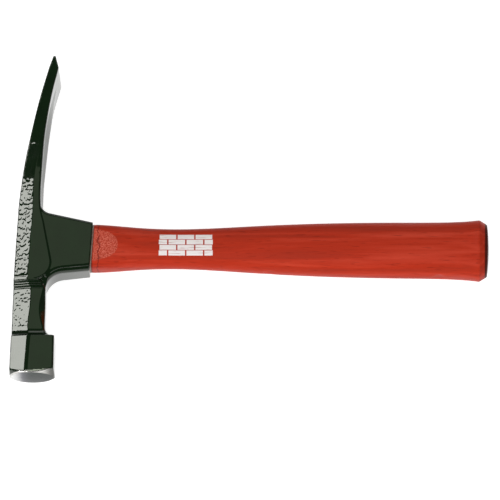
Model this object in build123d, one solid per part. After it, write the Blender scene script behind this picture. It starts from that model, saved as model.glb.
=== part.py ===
"""A brick hammer: one forged steel head resin-bonded to a turned hickory handle.

Millimetres. While it is drawn, X runs along the handle from the crown of the head to the butt, Y along
the head from the striking face to the chisel edge, and Z across the head, with Z = 0 in the middle.
"""
from build123d import *
from math import cos, pi, radians, sin
import os

# ---- forged head: one row per cross-section --------------------------------------------------------
# y, crown x, handle-side x, half width, half width at the crown, x where the crown facet starts, edge break
POLL_END = (-79.0, 1.5, 27.5, 12.7, 9.9, 11.2, 0.9)
POLL_TOP = (-55.2, 2.3, 27.6, 12.6, 9.9, 12.8, 0.9)
SHANK = [
    (-49.5, 2.5, 21.9, 9.3, 6.3, 11.9, 1.4),
    (-44.0, 2.6, 21.9, 9.3, 6.2, 12.2, 2.8),
    (-36.5, 2.8, 22.0, 9.3, 6.1, 13.1, 3.3),
    (-30.0, 3.0, 22.0, 9.3, 6.1, 13.3, 2.1),
    (-25.8, 3.1, 22.0, 9.3, 6.0, 13.5, 1.2),
]
POLL_FACET_BREAK = 1.1
CHEEK_LOW = (-21.8, 3.2, 27.3, 12.5, 9.9, 11.2, 0.6)
CHEEK_HIGH = (14.0, 5.0, 20.2, 12.5, 9.9, 13.4, 0.6)
CHEEK_CORNER = 10.5
CHEEK_FOOT_X = 19.2
CHEEK_STEPS = [(-24.9, 0.45), (-23.3, 0.52), (-22.3, 1.0)]    # y, share of the way from shank to cheek
BLADE = [
    CHEEK_HIGH,
    (18.0, 5.2, 19.2, 12.5, 9.9, 13.6, 0.7),
    (24.0, 5.6, 18.5, 12.5, 10.0, 13.8, 0.8),
    (37.0, 7.0, 18.5, 12.6, 10.3, 14.0, 0.9),
    (50.0, 8.9, 19.2, 13.7, 11.5, 15.6, 0.9),
    (63.0, 11.5, 20.1, 15.2, 13.0, 18.2, 0.8),
    (76.0, 14.4, 21.9, 17.2, 15.2, 20.9, 0.7),
    (89.0, 17.7, 24.3, 19.2, 17.4, 23.5, 0.5),
    (98.0, 20.4, 26.5, 20.7, 19.2, 25.7, 0.5),
    (104.2, 22.3, 28.0, 21.8, 20.6, 27.2, 0.4),
]
CUTTING_EDGE = (110.9, 24.8, 26.1, 22.2, 22.0, 25.7, 0.2)
BLADE_SWELL = [0.0, 0.4, 0.8, 1.2, 1.6, 1.9, 1.7, 0.6, 0.0]    # rise of the blade's handle side, row by row

# ---- poll end: a round, slightly domed striking face inside a bevel ----------------------------------
FACE_CENTRE_X = 14.5
FACE_RADIUS = 12.1
FACE_CREST_Y = -78.5
FACE_RIM_Y = -77.9
BEVEL_SLOPE = 0.55              # rise of the bevel for each millimetre outside the face

# ---- neck and socket ---------------------------------------------------------------------------------
MOUTH_X = 48.3
PAST_MOUTH_X = MOUTH_X + 4
MOUTH_LEAN = 3.5                # degrees that the mouth leans towards the butt at its upper end
MOUTH_TOP_Y = 12.75
MOUTH_BOTTOM_Y = -14.8
NECK_TOP_Y = 19.8
NECK_BOTTOM_Y = -18.1
NECK_TOP_FILLET = 7.0
NECK_BOTTOM_FILLET = 11.0
NECK_TOP_ROUND = 2.0
NECK_BOTTOM_ROUND = 4.0
NECK_HALF = 12.5
MOUTH_HALF = 11.2
NECK_ROOT_X = 14.0
NECK_ROOT_Y = (-34.0, 33.0)      # reach of the neck's root, buried in shank and blade
THROAT_START_X = 15.0
THROAT = [(-29.0, 6.5), (-24.0, 8.8), (-17.0, 12.2)]    # y, half width

# ---- eye, tenon and resin: half heights in Y and Z ---------------------------------------------------
EYE_SQUARENESS = 4.0
EYE_MOUTH = (10.4, 7.2)
EYE_CROWN = (11.5, 8.25)
RESIN_GAP = 0.6
TENON_END_X = 8.0
SEAL_RECESS = 0.5
BEAD_LENGTH = 0.7
KERF_DEPTH = 26.0
WEDGE_THICK = 3.4
WEDGE_TIP = 0.5

# ---- handle: x, half height, half width, squareness of the oval --------------------------------------
SHOULDER_X = MOUTH_X + BEAD_LENGTH
BODY_START_X = SHOULDER_X - 2
HANDLE = [
    (BODY_START_X, 13.3, 11.0, 3.6),
    (60.0, 13.1, 10.8, 3.2),
    (72.0, 12.4, 10.2, 2.7),
    (93.0, 11.65, 9.5, 2.35),
    (125.0, 12.7, 10.2, 2.3),
    (158.0, 14.6, 11.3, 2.3),
    (208.0, 16.15, 12.5, 2.3),
    (250.0, 16.55, 13.0, 2.3),
    (274.6, 18.0, 14.2, 2.3),
]
BUTT_RIM = (279.0, 15.3, 11.5, 2.3)
BUTT_CREST_X = 280.0
FLAT_START_Z = 9.6
FLAT_END = (66.0, 10.8)
OVAL_POINTS = 24

SIDES = (1, -1)


def head_section(row):
    """Eight-sided section of the forging: crown flat, two crown facets, two side flats, broken edges."""
    y, crown, back, half, crown_half, facet, edge = row
    side = [(crown, crown_half), (facet, half), (back - edge, half), (back, half - edge)]
    points = [(x, y, z) for x, z in side]
    points += [(x, y, -z) for x, z in reversed(side)]
    return make_face(Polyline(*points, close=True))


def between(start, end, share):
    """The section row part of the way from start to end, measured in size only."""
    return tuple(a + (b - a) * share for a, b in zip(start, end))


def beyond_mouth(x):
    """Everything on the butt side of a plane that leans as the mouth of the socket does."""
    lean = radians(MOUTH_LEAN)
    plane = Plane(origin=(x, 0, 0), z_dir=(cos(lean), -sin(lean), 0))
    return plane * Pos(0, 0, 200) * Box(400, 400, 400)


def cove(small, large, last_angle):
    """Rows that sweep a quarter-round hollow from a small section out to a large one."""
    rows = []
    for step in range(7):
        angle = radians(last_angle * step / 6)
        row = between(small, large, 1 - cos(angle))
        y = small[0] + (large[0] - small[0]) * sin(angle)
        rows.append((y,) + row[1:])
    return rows


def skin(rows, ruled=False):
    """Solid through a run of head sections."""
    return loft([head_section(row) for row in rows], ruled=ruled)


def oval(x, half_y, half_z, squareness):
    """Oval face across the handle: a superellipse, round at squareness 2 and boxier above it."""
    points = []
    for step in range(OVAL_POINTS):
        angle = 2 * pi * step / OVAL_POINTS
        c, s = cos(angle), sin(angle)
        y = half_y * abs(c) ** (2 / squareness) * (1 if c >= 0 else -1)
        z = half_z * abs(s) ** (2 / squareness) * (1 if s >= 0 else -1)
        points.append((x, y, z))
    shares = [step / OVAL_POINTS for step in range(OVAL_POINTS + 1)]
    return make_face(Edge.make_spline([Vector(*p) for p in points], periodic=True, parameters=shares))


def eye_taper(shrink, x_start, x_end):
    """The tapering eye volume between two stations, smaller all round by shrink."""
    faces = []
    for x in (x_start, x_end):
        share = (MOUTH_X - x) / MOUTH_X
        half_y = EYE_MOUTH[0] + (EYE_CROWN[0] - EYE_MOUTH[0]) * share - shrink
        half_z = EYE_MOUTH[1] + (EYE_CROWN[1] - EYE_MOUTH[1]) * share - shrink
        faces.append(oval(x, half_y, half_z, EYE_SQUARENESS))
    return loft(faces, ruled=True)


def slab(points, plane, half_depth):
    """Extrude a flat outline equally to both sides of its plane."""
    return extrude(plane * make_face(Polyline(*points, close=True)), half_depth, both=True)


# outlines given as (x, z) are drawn on this plane and extruded along Y
ACROSS = Plane(origin=(0, 0, 0), x_dir=(1, 0, 0), z_dir=(0, -1, 0))


def make_poll():
    """Squared hammer poll, turned on its end to a bevel and a domed face."""
    block = skin([POLL_TOP, POLL_END], ruled=True)
    along = [e for e in block.edges() if e.length > abs(POLL_END[0] - POLL_TOP[0]) - 1]
    facet_edges = [e for e in along if abs(e.center().Z) > 12.5 and e.center().X < 15]
    block = chamfer(facet_edges, POLL_FACET_BREAK)
    rise = FACE_RIM_Y - FACE_CREST_Y
    dome_radius = (FACE_RADIUS ** 2 + rise ** 2) / (2 * rise)
    dome = Pos(FACE_CENTRE_X, FACE_CREST_Y + dome_radius, 0) * Sphere(dome_radius)
    inner, outer = FACE_RADIUS / 2, FACE_RADIUS * 2
    bevel = [(0, FACE_RIM_Y - inner * BEVEL_SLOPE), (inner, FACE_RIM_Y - inner * BEVEL_SLOPE),
             (outer, FACE_RIM_Y + FACE_RADIUS * BEVEL_SLOPE), (outer, 0), (0, 0)]
    turned = revolve(make_face(Polyline(*bevel, close=True)), Axis.Y)
    return block & Pos(FACE_CENTRE_X, 0, 0) * turned & dome


def make_shank():
    """Narrow bar between poll and cheeks: scooped edges, a hollow to the poll, steps up to the cheeks."""
    low, high = SHANK[0], SHANK[-1]
    poll_cove = cove(low, POLL_TOP, 68)
    shoulder = skin([poll_cove[-1], POLL_TOP], ruled=True)
    cheek_foot = CHEEK_LOW[:2] + (CHEEK_FOOT_X,) + CHEEK_LOW[3:6] + (high[6],)
    steps = [(y,) + between(high, cheek_foot, share)[1:] for y, share in CHEEK_STEPS]
    stair = skin([high] + steps + [cheek_foot], ruled=True)
    return skin(SHANK) + skin(poll_cove) + shoulder + stair


def widened(row, extra):
    """The same crown facet carried out past the side flat, on a wider and deeper section."""
    y, crown, back, half, crown_half, facet, edge = row
    run = extra * (facet - crown) / (half - crown_half)
    return (y, crown, back + 9, half + extra, crown_half, facet + run, edge)


def make_cheeks():
    """Eye block with a flat raised cheek on each side, its lower corner rounded like a D."""
    low, high, half = CHEEK_LOW, CHEEK_HIGH, CHEEK_LOW[3]
    outline = Polyline((-5, low[0]), (low[2], low[0]), (high[2], high[0]), (-5, high[0]), close=True)
    face = make_face(outline)
    corner = face.vertices().sort_by_distance((low[2], low[0], 0))[0]
    block = extrude(fillet(corner, CHEEK_CORNER), half, both=True)
    rims = [e for e in block.edges() if abs(e.center().Z) > half - 0.1 and e.center().X > 15
            and e.center().Y < high[0] - 1]
    return chamfer(rims, high[6]) & skin([widened(low, 2), widened(high, 2)], ruled=True)


def make_neck():
    """Tapering socket that carries the handle, flowing into blade and shank."""
    back_top = BLADE[3][2] - 0.3
    back_bottom = SHANK[-1][2] - 0.3
    root_bottom, root_top = NECK_ROOT_Y
    end_x = PAST_MOUTH_X
    outline = [(NECK_ROOT_X, root_top), (back_top, root_top), (back_top, NECK_TOP_Y),
               (end_x, MOUTH_TOP_Y), (end_x, MOUTH_BOTTOM_Y),
               (back_bottom, NECK_BOTTOM_Y), (back_bottom, root_bottom), (NECK_ROOT_X, root_bottom)]
    face = make_face(Polyline(*outline, close=True))
    top_corner = face.vertices().sort_by_distance((back_top, NECK_TOP_Y, 0))[0]
    face = fillet(top_corner, NECK_TOP_FILLET)
    bottom_corner = face.vertices().sort_by_distance((back_bottom, NECK_BOTTOM_Y, 0))[0]
    face = fillet(bottom_corner, NECK_BOTTOM_FILLET)
    taper = [(8, NECK_HALF), (end_x, MOUTH_HALF), (end_x, -MOUTH_HALF), (8, -NECK_HALF)]
    neck = extrude(face, 20, both=True) & slab(taper, ACROSS, 60)
    arcs = neck.edges().filter_by(GeomType.ELLIPSE)
    straights = [e for e in neck.edges() if abs(e.center().Z) > 9 and 25 < e.center().X < end_x - 1]
    lower = [e for e in arcs + straights if e.center().Y < 0]
    neck = fillet(lower, NECK_BOTTOM_ROUND)
    arcs = neck.edges().filter_by(GeomType.ELLIPSE)
    straights = [e for e in neck.edges() if abs(e.center().Z) > 9 and 25 < e.center().X < end_x - 1]
    upper = [e for e in arcs + straights if e.center().Y > 10]
    return fillet(upper, NECK_TOP_ROUND) & make_throat() - beyond_mouth(MOUTH_X)


def make_throat():
    """Width of the neck along Y: full at the socket, drawn in to the back of the shank below it."""
    right = Spline(*THROAT, tangents=((1, 0.2), (1, 0)))
    left = mirror(right, Plane.XZ)
    top_y = 40
    ends = [Polyline(right @ 1, (top_y, THROAT[-1][1]), (top_y, -THROAT[-1][1]), left @ 1),
            Line(left @ 0, right @ 0)]
    return extrude(Plane.YZ.offset(THROAT_START_X) * make_face([right, left] + ends), 60)


def make_blade():
    """Curved blade fanning out to the chisel edge, with a low swell along its handle side."""
    ridges = []
    for (y, crown, back, half, crown_half, facet, edge), swell in zip(BLADE, BLADE_SWELL):
        points = [(back - 1, y, half - edge), (back + swell, y, 0), (back - 1, y, edge - half)]
        ridges.append(make_face(Polyline(*points, close=True)))
    return skin(BLADE) + skin([BLADE[-1], CUTTING_EDGE], ruled=True) + loft(ridges, ruled=True)


def make_head(eye):
    """The whole forging with its tapered eye cut right through from mouth to crown."""
    solid = make_poll() + make_shank() + make_cheeks() + make_blade() + make_neck()
    return solid - eye


def wedge_block():
    """Long thin prism that spreads the tenon, blunt at its inner tip."""
    tip_x = TENON_END_X + KERF_DEPTH
    outline = [(TENON_END_X - 1, WEDGE_THICK / 2), (tip_x, WEDGE_TIP / 2),
               (tip_x, -WEDGE_TIP / 2), (TENON_END_X - 1, -WEDGE_THICK / 2)]
    return slab(outline, ACROSS, 30)


def make_handle(tenon):
    """Turned hickory handle: tenon, flats by the socket, waist, swelling grip, chamfered domed butt."""
    grip = loft([oval(*station) for station in HANDLE])
    chamfer_cone = loft([oval(*HANDLE[-1]), oval(*BUTT_RIM)], ruled=True)
    rise = BUTT_CREST_X - BUTT_RIM[0]
    dome_reach = BUTT_RIM[1] + 0.5
    dome_radius = (dome_reach ** 2 + rise ** 2) / (2 * rise)
    dome = Pos(BUTT_CREST_X - dome_radius, 0, 0) * Sphere(dome_radius)
    cap = extrude(oval(*BUTT_RIM), rise * 2, dir=(1, 0, 0)) & dome
    body = grip + chamfer_cone + cap
    body = body & beyond_mouth(SHOULDER_X)
    for side in SIDES:
        flat = [(BODY_START_X - 1, side * FLAT_START_Z), (FLAT_END[0], side * FLAT_END[1]),
                (FLAT_END[0], side * 20), (BODY_START_X - 1, side * 20)]
        body = body - slab(flat, ACROSS, 30)
    return body + (tenon - beyond_mouth(SHOULDER_X + 1)) - wedge_block()


def make_seal(eye):
    """Resin cap that closes the eye just below the crown."""
    low, high = CHEEK_LOW, CHEEK_HIGH
    slope = (high[1] - low[1]) / (high[0] - low[0])
    outer = low[1] - low[0] * slope + SEAL_RECESS
    outline = [(outer - 20 * slope, -20), (TENON_END_X, -20), (TENON_END_X, 20), (outer + 20 * slope, 20)]
    return eye & slab(outline, Plane.XY, 20)


def make_parts():
    """Every separate piece of the hammer, by name, in drawing position."""
    eye = eye_taper(0, PAST_MOUTH_X, -2)
    tenon = eye_taper(RESIN_GAP, PAST_MOUTH_X, TENON_END_X)
    filled = eye_taper(0, PAST_MOUTH_X, TENON_END_X) - beyond_mouth(MOUTH_X)
    bead = extrude(oval(MOUTH_X - 2, *HANDLE[0][1:]), 6, dir=(1, 0, 0))
    bead = (bead & beyond_mouth(MOUTH_X)) - beyond_mouth(SHOULDER_X)
    half = FLAT_START_Z
    bead = bead & slab([(0, half), (99, half), (99, -half), (0, -half)], ACROSS, 30)
    return {
        "hammer_head": make_head(eye),
        "handle": make_handle(tenon),
        "kerf_wedge": tenon & wedge_block(),
        "bond_sleeve": filled - tenon,
        "mouth_bead": bead - tenon,
        "crown_seal": make_seal(eye),
    }


def main():
    os.makedirs("parts", exist_ok=True)
    parts = make_parts()
    box = Compound(children=list(parts.values())).bounding_box()
    to_floor = Pos(-box.center().X, -box.center().Y, -box.min.Z)
    for name, shape in parts.items():
        piece = (to_floor * shape).solid()
        piece.label = name
        export_step(piece, f"parts/{name}.step")


main()
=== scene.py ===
"""The looks of a brick hammer, lying on its side on a pale floor.

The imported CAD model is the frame: +X along the handle, +Y from striking face to chisel edge, +Z up.
"""

import bpy
import numpy as np
from math import cos, exp, radians, sin
from mathutils import Matrix, Vector
from mathutils import noise as solid_noise


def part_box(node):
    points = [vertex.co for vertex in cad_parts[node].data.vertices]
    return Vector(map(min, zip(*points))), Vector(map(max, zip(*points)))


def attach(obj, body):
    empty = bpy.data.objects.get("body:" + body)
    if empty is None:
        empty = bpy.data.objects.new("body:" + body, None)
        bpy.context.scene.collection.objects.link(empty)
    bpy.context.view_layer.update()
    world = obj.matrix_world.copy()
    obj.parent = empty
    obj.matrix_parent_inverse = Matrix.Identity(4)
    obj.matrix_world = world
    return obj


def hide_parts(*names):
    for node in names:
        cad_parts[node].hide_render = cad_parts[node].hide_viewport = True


MM = 0.001
ROOT = "root"

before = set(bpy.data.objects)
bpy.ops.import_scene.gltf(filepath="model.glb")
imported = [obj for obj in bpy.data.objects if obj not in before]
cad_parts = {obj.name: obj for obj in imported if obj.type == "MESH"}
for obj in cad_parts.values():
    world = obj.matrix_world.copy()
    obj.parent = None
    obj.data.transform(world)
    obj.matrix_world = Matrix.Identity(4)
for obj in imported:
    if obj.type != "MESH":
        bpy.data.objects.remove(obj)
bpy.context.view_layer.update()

# ---- places, all from the frame -----------------------------------------------------------------------
HEAD_LOW, HEAD_HIGH = [Vector(corner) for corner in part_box("hammer_head")]
GRIP_LOW, GRIP_HIGH = [Vector(corner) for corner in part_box("handle")]
BEAD_LOW, BEAD_HIGH = [Vector(corner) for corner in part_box("mouth_bead")]
CROWN_X = HEAD_LOW.x
BUTT_X = GRIP_HIGH.x
SHOULDER_X = (BEAD_LOW.x + BEAD_HIGH.x) / 2
AXIS_Y = (GRIP_LOW.y + GRIP_HIGH.y) / 2
MIDDLE_Z = (HEAD_LOW.z + HEAD_HIGH.z) / 2

# stretches of the head, by distance from the handle's axis
POLL_TOP_Y = AXIS_Y - 54 * MM
SHANK_END_Y = AXIS_Y - 26 * MM
CHEEK_FOOT_Y = AXIS_Y - 21.8 * MM
ROUGH_END_Y = AXIS_Y + 35 * MM
BARE_STEEL_Y = AXIS_Y - 76.7 * MM
BARE_STEEL_SLOPE = 0.08

# striking face: middle and radius of its flat disc, and the swing of the grinding lines on it
FACE_CENTRE = Vector((CROWN_X + 12.9 * MM, HEAD_LOW.y, MIDDLE_Z))
FACE_RADIUS = 12.1 * MM
GRIND_RADIUS = 60 * MM

# sanded flats by the socket: half thickness at the shoulder and its growth along them, then their length
FLAT_DEPTH = 9.78 * MM
FLAT_SLOPE = 0.06
FLAT_LENGTH = 24 * MM
DARK_LINE_AT = 7 * MM

# butt: how far its chamfer and its dark end grain with painted shade reach back from the crest
CHAMFER_LENGTH = 5.6 * MM
END_GRAIN_AND_SHADE_LENGTH = 2.5 * MM

# printed mark: a panel of running-bond brickwork
MARK_LEFT = SHOULDER_X + 39 * MM
MARK_LOW = AXIS_Y - 6.2 * MM
MARK_WIDTH = 31.5 * MM
MARK_HEIGHT = 12.9 * MM
MARK_BRICKS = 3
MARK_ROWS = 4

# ---- forging marks left in the surface under the enamel ------------------------------------------------
CHEEK_GROOVE_Y = CHEEK_FOOT_Y + 2.2 * MM
CHEEK_GROOVE_WIDTH = 0.5 * MM
CHEEK_GROOVE_DEPTH = 0.25 * MM
SCALE_SIZE = 1.9 * MM
SCALE_HEIGHT = 0.1 * MM
PIT_SIZE = 1.1 * MM
PIT_DEPTH = 0.055 * MM
WAVE_SIZE = 6 * MM
WAVE_HEIGHT = 0.03 * MM

# ---- camera -------------------------------------------------------------------------------------------
CAMERA_TILT = radians(15)
CAMERA_YAW = radians(1.3)
CAMERA_ROLL = radians(0.68)
CAMERA_DISTANCE = 6.0
FIELD_WIDTH = 292 * MM
CAMERA_AIM = Vector((BUTT_X - 139.3 * MM, AXIS_Y - 0.15 * MM, MIDDLE_Z))

# ---- lamps and floor ----------------------------------------------------------------------------------
LAMP_DISTANCE = 3.0
LAMP_AIM = Vector((CROWN_X, AXIS_Y, MIDDLE_Z))
FLOOR_HALF = 6.0


# ---- small helpers ------------------------------------------------------------------------------------
def add_node(tree, kind, settings=None, **inputs):
    """Add a shader node: settings are its properties, inputs are values or other nodes' outputs.

    An input is given by its name, or as i and its number where names repeat.
    """
    node = tree.nodes.new(kind)
    for name, value in (settings or {}).items():
        setattr(node, name, value)
    for name, value in inputs.items():
        numbered = name[0] == "i" and name[1:].isdigit()
        socket = node.inputs[int(name[1:])] if numbered else node.inputs[name]
        if isinstance(value, bpy.types.NodeSocket):
            tree.links.new(value, socket)
        else:
            socket.default_value = value
    return node


def new_material(name):
    """Empty node material with its output; returns the material, its tree and the output node."""
    material = bpy.data.materials.new(name)
    material.use_nodes = True
    tree = material.node_tree
    tree.nodes.clear()
    return material, tree, tree.nodes.new("ShaderNodeOutputMaterial")


def math(tree, operation, a, b=0.0):
    """One maths node; returns its output socket."""
    return add_node(tree, "ShaderNodeMath", {"operation": operation}, i0=a, i1=b).outputs[0]


def ramp(tree, factor, stops):
    """Colour ramp through (position, grey or colour) stops; returns its colour socket."""
    node = add_node(tree, "ShaderNodeValToRGB", Fac=factor)
    elements = node.color_ramp.elements
    while len(elements) < len(stops):
        elements.new(0.5)
    for element, (position, colour) in zip(elements, stops):
        element.position = position
        grey = isinstance(colour, (int, float))
        element.color = (colour, colour, colour, 1) if grey else (*colour, 1)
    return node.outputs["Color"]


def noise(tree, vector, scale, detail=2.0, roughness=0.5, distortion=0.0):
    """Noise texture in the object's own metres; returns its factor socket."""
    node = add_node(tree, "ShaderNodeTexNoise", Vector=vector, Scale=scale, Detail=detail,
                    Roughness=roughness, Distortion=distortion)
    return node.outputs["Fac"]


def place(tree, scale=(1, 1, 1), offset=(0, 0, 0)):
    """Object coordinates, offset and then scaled; returns the vector socket."""
    coordinates = add_node(tree, "ShaderNodeTexCoord").outputs["Object"]
    shifted = add_node(tree, "ShaderNodeVectorMath", {"operation": "ADD"}, i0=coordinates, i1=offset)
    return add_node(tree, "ShaderNodeVectorMath", {"operation": "MULTIPLY"},
                    i0=shifted.outputs[0], i1=scale).outputs[0]


def mix(tree, factor, a, b, blend="MIX"):
    """Blend of two colours; returns the colour socket."""
    kind = {"data_type": "RGBA", "blend_type": blend}
    node = add_node(tree, "ShaderNodeMix", kind, i0=factor, i6=a, i7=b)
    return node.outputs[2]


def bump(tree, height, strength, distance):
    """Bump node; returns the normal socket."""
    node = add_node(tree, "ShaderNodeBump", Height=height, Strength=strength, Distance=distance)
    return node.outputs["Normal"]


def split(tree, vector):
    """The x, y and z sockets of a vector."""
    return add_node(tree, "ShaderNodeSeparateXYZ", Vector=vector).outputs


def within(tree, value, low, high):
    """1 where the value lies between the two limits, 0 elsewhere."""
    above = math(tree, "GREATER_THAN", value, low)
    below = math(tree, "LESS_THAN", value, high)
    return math(tree, "MULTIPLY", above, below)


def rise(tree, value, low, high):
    """Smooth step from 0 at low to 1 at high."""
    node = add_node(tree, "ShaderNodeMapRange", {"interpolation_type": "SMOOTHSTEP"},
                    i0=value, i1=low, i2=high)
    return node.outputs[0]


# ---- materials ----------------------------------------------------------------------------------------
def enamel_material():
    """Gloss black-green enamel, slightly orange-peeled."""
    material, tree, output = new_material("black_enamel")
    here = place(tree)
    shader = add_node(tree, "ShaderNodeBsdfPrincipled", Roughness=0.05)
    shader.inputs["Specular Tint"].default_value = (0.985, 1.0, 0.93, 1)
    cloud = noise(tree, here, 120, 3)
    colour = ramp(tree, cloud, [(0.3, (0.002, 0.009, 0.002)), (0.7, (0.003, 0.013, 0.003))])
    tree.links.new(colour, shader.inputs["Base Color"])
    peel = noise(tree, here, 1100, 2)
    tree.links.new(bump(tree, peel, 0.05, 0.0001), shader.inputs["Normal"])
    tree.links.new(shader.outputs[0], output.inputs["Surface"])
    return material


def steel_material():
    """Bare steel: a bright ground bevel round a duller face with curved grinding lines; painted lighter on
    the crown side and darker towards the handle, on the face partly real polish and partly painted
    highlight, on the bevel painted highlight and painted shade.
    """
    material, tree, output = new_material("bare_steel")
    x, _, z = split(tree, place(tree, offset=(-FACE_CENTRE.x, 0, -FACE_CENTRE.z)))
    out = math(tree, "SQRT", math(tree, "ADD", math(tree, "MULTIPLY", x, x), math(tree, "MULTIPLY", z, z)))
    swung = math(tree, "SUBTRACT", z, GRIND_RADIUS)
    squares = math(tree, "ADD", math(tree, "MULTIPLY", x, x), math(tree, "MULTIPLY", swung, swung))
    swing = math(tree, "SQRT", squares)
    arcs = add_node(tree, "ShaderNodeCombineXYZ", X=swing, Y=math(tree, "MULTIPLY", x, 0.03))
    lines = noise(tree, arcs.outputs[0], 1900, 3)
    uneven = math(tree, "ADD", x, math(tree, "MULTIPLY", lines, 5 * MM))
    # the face's steel runs from bright on the crown side to dull towards the handle: partly real polish,
    # partly painted highlight and painted shade
    polish_and_painted_highlight = rise(tree, uneven, -9 * MM, 3 * MM)
    bright, grey, dull = (0.74, 0.74, 0.73), (0.24, 0.24, 0.26), (0.12, 0.13, 0.125)
    colour = ramp(tree, polish_and_painted_highlight, [(0.0, bright), (0.5, grey), (1.0, dull)])
    bevel = rise(tree, out, FACE_RADIUS, FACE_RADIUS + 0.5 * MM)
    # the bevel is painted with a highlight on the crown side, fading to painted shade towards the handle
    back = rise(tree, x, 6 * MM, 12 * MM)
    ground = ramp(tree, back, [(0.0, (0.62, 0.61, 0.58)), (1.0, (0.16, 0.16, 0.15))])
    colour = mix(tree, bevel, colour, ground)
    streaks = ramp(tree, lines, [(0.3, 0.7), (0.6, 1.0)])
    shader = add_node(tree, "ShaderNodeBsdfPrincipled", Metallic=1.0, Roughness=0.27)
    # the edge tint follows the same painted highlight
    edge_on = ramp(tree, polish_and_painted_highlight, [(0.0, 1.0), (0.6, 0.52)])
    tree.links.new(edge_on, shader.inputs["Specular Tint"])
    tree.links.new(mix(tree, 1.0, colour, streaks, "MULTIPLY"), shader.inputs["Base Color"])
    tree.links.new(bump(tree, lines, 0.2, 0.0001), shader.inputs["Normal"])
    tree.links.new(shader.outputs[0], output.inputs["Surface"])
    return material


def brick_mark(tree):
    """Printed pictogram of a running-bond brick wall on the upper side: 1 on the white bricks."""
    x, y, z = split(tree, place(tree))
    here = place(tree, scale=(1 / MARK_WIDTH, 1 / MARK_HEIGHT, 0), offset=(-MARK_LEFT, -MARK_LOW, 0))
    wall = add_node(tree, "ShaderNodeTexBrick", {"offset": 0.5}, Vector=here, Scale=1.0)
    wall.inputs["Mortar Size"].default_value = 0.014
    wall.inputs["Mortar Smooth"].default_value = 0.1
    wall.inputs["Brick Width"].default_value = 1 / MARK_BRICKS
    wall.inputs["Row Height"].default_value = 1 / MARK_ROWS
    bricks = math(tree, "SUBTRACT", 1.0, wall.outputs["Fac"])
    across = within(tree, x, MARK_LEFT, MARK_LEFT + MARK_WIDTH)
    panel = math(tree, "MULTIPLY", across, within(tree, y, MARK_LOW, MARK_LOW + MARK_HEIGHT))
    upper = math(tree, "GREATER_THAN", z, MIDDLE_Z)
    return math(tree, "MULTIPLY", math(tree, "MULTIPLY", bricks, panel), upper)


def hickory_material():
    """Red stained, lacquered hickory: long grain, fine dark pores, dark end grain with painted shade at
    the butt.
    """
    material, tree, output = new_material("red_hickory")
    here = place(tree)
    x, _, z = split(tree, here)
    grain = noise(tree, place(tree, scale=(7, 190, 190)), 1.0, 4, 0.55, 0.4)
    dark, red, light = (0.36, 0.030, 0.014), (0.47, 0.032, 0.012), (0.58, 0.056, 0.028)
    colour = ramp(tree, grain, [(0.32, dark), (0.5, red), (0.68, light)])
    pores = noise(tree, place(tree, scale=(110, 1500, 1500)), 1.0, 2)
    dark_pores = ramp(tree, pores, [(0.30, 0.45), (0.40, 1.0)])
    colour = mix(tree, 0.55, colour, dark_pores, "MULTIPLY")

    # the two sanded flats by the socket: paler, matt and dotted
    depth = math(tree, "ABSOLUTE", math(tree, "SUBTRACT", z, MIDDLE_Z))
    along = math(tree, "SUBTRACT", x, SHOULDER_X)
    plane = math(tree, "ADD", math(tree, "MULTIPLY", along, FLAT_SLOPE), FLAT_DEPTH)
    on_flat = rise(tree, math(tree, "SUBTRACT", depth, plane), -0.10 * MM, -0.03 * MM)
    on_flat = math(tree, "MULTIPLY", on_flat, within(tree, along, -1 * MM, FLAT_LENGTH))
    dots = noise(tree, here, 1500, 2)
    deep, rosy, pale = (0.36, 0.04, 0.022), (0.56, 0.09, 0.055), (0.72, 0.20, 0.14)
    flat_colour = ramp(tree, dots, [(0.36, deep), (0.5, rosy), (0.66, pale)])
    colour = mix(tree, math(tree, "MULTIPLY", on_flat, 0.75), colour, flat_colour)
    wobble = math(tree, "MULTIPLY", noise(tree, here, 200, 3), 7 * MM)
    from_line = math(tree, "SUBTRACT", math(tree, "ADD", along, wobble), DARK_LINE_AT)
    line = rise(tree, math(tree, "ABSOLUTE", from_line), 0.7 * MM, 0.1 * MM)
    colour = mix(tree, math(tree, "MULTIPLY", line, 0.75), colour, (0.14, 0.012, 0.008, 1))

    # end grain at the butt: the chamfer a little darker, the end face near black; real end grain tone with
    # painted shade on the end face
    end = rise(tree, x, BUTT_X - CHAMFER_LENGTH, BUTT_X - CHAMFER_LENGTH + 0.8 * MM)
    colour = mix(tree, math(tree, "MULTIPLY", end, 0.12), colour, (0.13, 0.02, 0.012, 1))
    end_face_grain_and_shade = rise(tree, x, BUTT_X - END_GRAIN_AND_SHADE_LENGTH, BUTT_X - END_GRAIN_AND_SHADE_LENGTH + 0.6 * MM)
    colour = mix(tree, math(tree, "MULTIPLY", end_face_grain_and_shade, 0.9), colour, (0.03, 0.008, 0.006, 1))

    mark = brick_mark(tree)
    worn = ramp(tree, pores, [(0.33, 0.55), (0.42, 1.0)])
    colour = mix(tree, math(tree, "MULTIPLY", mark, worn), colour, (0.88, 0.82, 0.81, 1))
    shader = add_node(tree, "ShaderNodeBsdfPrincipled", Roughness=0.4)
    shader.inputs["Specular IOR Level"].default_value = 0.05
    tree.links.new(colour, shader.inputs["Base Color"])
    fine = math(tree, "ADD", grain, math(tree, "MULTIPLY", pores, 0.6))
    fine = math(tree, "ADD", fine, math(tree, "MULTIPLY", math(tree, "MULTIPLY", dots, on_flat), 1.5))
    tree.links.new(bump(tree, fine, 0.35, 0.00025), shader.inputs["Normal"])
    tree.links.new(shader.outputs[0], output.inputs["Surface"])
    return material


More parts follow.
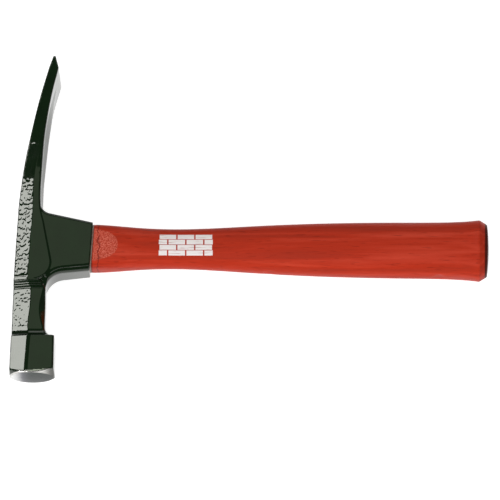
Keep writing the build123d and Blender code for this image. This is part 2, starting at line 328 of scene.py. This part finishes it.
def resin_material():
    """Cured grey resin, a little cloudy."""
    material, tree, output = new_material("cured_resin")
    cloud = noise(tree, place(tree), 700, 3)
    colour = ramp(tree, cloud, [(0.3, (0.20, 0.13, 0.10)), (0.7, (0.36, 0.27, 0.22))])
    shader = add_node(tree, "ShaderNodeBsdfPrincipled", Roughness=0.45)
    tree.links.new(colour, shader.inputs["Base Color"])
    tree.links.new(bump(tree, cloud, 0.2, 0.0003), shader.inputs["Normal"])
    tree.links.new(shader.outputs[0], output.inputs["Surface"])
    return material


def wedge_material():
    """Bare pale hardwood of the kerf wedge."""
    material, tree, output = new_material("pale_hardwood")
    grain = noise(tree, place(tree, scale=(60, 900, 900)), 1.0, 4)
    colour = ramp(tree, grain, [(0.3, (0.42, 0.28, 0.16)), (0.7, (0.66, 0.49, 0.31))])
    shader = add_node(tree, "ShaderNodeBsdfPrincipled", Roughness=0.6)
    tree.links.new(colour, shader.inputs["Base Color"])
    tree.links.new(shader.outputs[0], output.inputs["Surface"])
    return material


def floor_material():
    """Plain white table that glows a little, as a light table does, so that shadows stay pale."""
    material, tree, output = new_material("floor_white")
    paper = add_node(tree, "ShaderNodeBsdfDiffuse", Color=(0.5, 0.5, 0.5, 1))
    glow = add_node(tree, "ShaderNodeEmission", Color=(1, 1, 1, 1), Strength=0.85)
    both = add_node(tree, "ShaderNodeAddShader", i0=paper.outputs[0], i1=glow.outputs[0])
    tree.links.new(both.outputs[0], output.inputs["Surface"])
    return material


# ---- shapes -------------------------------------------------------------------------------------------
def refined_copy(node, name, voxel, rounds):
    """Fine even mesh over a CAD node, its edges eased as forging, sanding and paint ease them."""
    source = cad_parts[node]
    piece = source.copy()
    piece.data = source.data.copy()
    piece.name = name
    bpy.context.collection.objects.link(piece)
    remesh = piece.modifiers.new("remesh", "REMESH")
    remesh.mode = "VOXEL"
    remesh.voxel_size = voxel
    smooth = piece.modifiers.new("ease", "SMOOTH")
    smooth.factor = 0.5
    smooth.iterations = rounds
    evaluated = piece.evaluated_get(bpy.context.evaluated_depsgraph_get())
    mesh = bpy.data.meshes.new_from_object(evaluated)
    piece.modifiers.clear()
    piece.data = mesh
    mesh.name = name
    for polygon in mesh.polygons:
        polygon.use_smooth = True
    return piece


def finish_piece(piece, node, materials):
    """Make a piece stand for a CAD node, ride on the only body and wear its materials."""
    piece.data.materials.clear()
    for material in materials:
        piece.data.materials.append(material)
    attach(piece, ROOT)
    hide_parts(node)


def fade(value, low, high):
    """Smooth step from 0 at low to 1 at high."""
    share = min(max((value - low) / (high - low), 0), 1)
    return share * share * (3 - 2 * share)


def forging_marks(spot, normal):
    """Height of the forged surface at a place on the head: scale, pits and a groove on the crown side."""
    facing = fade(-normal.x, 0.12, 0.22)
    wave = solid_noise.noise(spot / WAVE_SIZE) * WAVE_HEIGHT
    if facing == 0:
        return wave * 0.15
    y = spot.y
    height = wave * 0.6
    blotch = solid_noise.noise(spot / SCALE_SIZE) + 0.6 * solid_noise.noise(spot / SCALE_SIZE * 2.7)
    eye = fade(y, CHEEK_FOOT_Y, CHEEK_FOOT_Y + 3 * MM) * (1 - fade(y, ROUGH_END_Y, ROUGH_END_Y + 5 * MM))
    height += eye * SCALE_HEIGHT * (fade(blotch, -0.12, 0.2) - 0.5)
    pitted = solid_noise.noise(spot / PIT_SIZE)
    shank = fade(y, POLL_TOP_Y, POLL_TOP_Y + 4 * MM) * (1 - fade(y, SHANK_END_Y - 1 * MM, SHANK_END_Y))
    upper = fade(y, ROUGH_END_Y, ROUGH_END_Y + 4 * MM)
    height -= shank * PIT_DEPTH * fade(pitted, 0.15, 0.45)
    height += upper * PIT_DEPTH * fade(pitted, 0.62, 0.75)
    groove = (y - CHEEK_GROOVE_Y) / CHEEK_GROOVE_WIDTH
    height -= CHEEK_GROOVE_DEPTH * exp(-groove * groove)
    return height * facing


def is_bare(spot):
    """True where the enamel is ground off, on the face and a little way up the poll's walls."""
    limit = BARE_STEEL_Y + (spot.x - CROWN_X - 8 * MM) * BARE_STEEL_SLOPE
    return spot.y < limit


def make_head(enamel, steel):
    """The forging, enamelled all over but for its striking face and bevel."""
    head = refined_copy("hammer_head", "forged_head", 0.4 * MM, 2)
    finish_piece(head, "hammer_head", [enamel, steel])
    mesh = head.data
    spots = [vertex.co.copy() for vertex in mesh.vertices]
    normals = [vertex.normal.copy() for vertex in mesh.vertices]
    marked = [spot + normal * forging_marks(spot, normal) for spot, normal in zip(spots, normals)]
    mesh.vertices.foreach_set("co", np.array(marked, dtype=np.float32).ravel())
    mesh.update()
    for polygon in mesh.polygons:
        polygon.material_index = 1 if is_bare(polygon.center) else 0
    return head


def make_handle(hickory):
    """The turned handle."""
    handle = refined_copy("handle", "turned_handle", 0.5 * MM, 3)
    finish_piece(handle, "handle", [hickory])
    return handle


# ---- light, floor and camera --------------------------------------------------------------------------
def level_turn(back):
    """Rotation of a lamp or camera that looks along -back with its width level and its height along Y."""
    right = Vector((0, 1, 0)).cross(back).normalized()
    return Matrix((right, back.cross(right), back)).transposed().to_4x4()


def add_softbox(name, direction, width, height, radiance):
    """Square-on area light seen in a given direction from the hammer's crown."""
    data = bpy.data.lights.new(name, "AREA")
    data.shape = "RECTANGLE"
    data.size = width
    data.size_y = height
    data.energy = radiance * np.pi * width * height
    lamp = bpy.data.objects.new(name, data)
    bpy.context.collection.objects.link(lamp)
    aim = Vector(direction).normalized()
    lamp.matrix_world = Matrix.Translation(LAMP_AIM + aim * LAMP_DISTANCE) @ level_turn(aim)
    return lamp


def make_light():
    """Soft studio: boxes that the gloss reflects, and a key light that only the matt surfaces see."""
    world = bpy.data.worlds.new("studio")
    world.use_nodes = True
    world.node_tree.nodes["Background"].inputs["Color"].default_value = (0.09, 0.09, 0.09, 1)
    bpy.context.scene.world = world
    crown_box = add_softbox("crown_box", (-0.575, 0.43, 0.675), 1.3, 1.32, 11)
    crown_box.visible_diffuse = False
    key = add_softbox("key", (0.10, -0.22, 0.95), 2.0, 2.0, 3.0)
    key.visible_glossy = False
    ceiling_box = add_softbox("ceiling_box", (0.05, 0.30, 0.95), 1.4, 1.3, 0.62)
    ceiling_box.data.color = (0.84, 1.0, 0.76)
    add_softbox("front_box", (-0.50, -0.60, 0.62), 1.0, 1.0, 14)
    add_softbox("front_strip", (0.15, -0.54, 0.84), 3.0, 0.4, 2)
    add_softbox("back_box", (0.2, 0.9, 0.45), 2.0, 1.0, 1.5)


def lowest(node, condition=lambda spot: True):
    """Lowest vertex of a CAD node, among those that meet the condition."""
    spots = [vertex.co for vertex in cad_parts[node].data.vertices if condition(vertex.co)]
    return min(spots, key=lambda spot: spot.z).copy()


def make_floor(material):
    """White table laid against the three points that the hammer rests on: blade, poll and butt."""
    blade = lowest("hammer_head")
    poll = lowest("hammer_head", lambda spot: spot.y < POLL_TOP_Y)
    butt = lowest("handle")
    up = (poll - blade).cross(butt - blade).normalized()
    up = up if up.z > 0 else -up
    middle = (blade + poll + butt) / 3
    along = Vector((0, 1, 0)).cross(up).normalized()
    across = up.cross(along)
    sides = ((-1, -1), (1, -1), (1, 1), (-1, 1))
    corners = [middle + along * FLOOR_HALF * i + across * FLOOR_HALF * j for i, j in sides]
    mesh = bpy.data.meshes.new("floor")
    mesh.from_pydata(corners, [], [(0, 1, 2, 3)])
    floor = bpy.data.objects.new("floor", mesh)
    bpy.context.collection.objects.link(floor)
    mesh.materials.append(material)


def make_camera():
    """Long lens, square to the hammer's side but for a tilt towards the striking face."""
    data = bpy.data.cameras.new("camera")
    data.sensor_width = 36
    data.lens = data.sensor_width * CAMERA_DISTANCE / FIELD_WIDTH
    data.clip_end = CAMERA_DISTANCE * 3
    camera = bpy.data.objects.new("camera", data)
    bpy.context.collection.objects.link(camera)
    level = cos(CAMERA_TILT)
    back = Vector((sin(CAMERA_YAW) * level, -sin(CAMERA_TILT), cos(CAMERA_YAW) * level))
    roll = Matrix.Rotation(CAMERA_ROLL, 4, "Z")
    camera.matrix_world = Matrix.Translation(CAMERA_AIM + back * CAMERA_DISTANCE) @ level_turn(back) @ roll
    bpy.context.scene.camera = camera


def main():
    enamel = enamel_material()
    resin = resin_material()
    make_head(enamel, steel_material())
    make_handle(hickory_material())
    for node in ("bond_sleeve", "mouth_bead", "crown_seal"):
        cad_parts[node].data.materials.clear()
        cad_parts[node].data.materials.append(resin)
    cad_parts["kerf_wedge"].data.materials.clear()
    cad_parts["kerf_wedge"].data.materials.append(wedge_material())
    make_light()
    make_floor(floor_material())
    make_camera()
    bpy.context.scene.view_settings.view_transform = "Standard"


main()
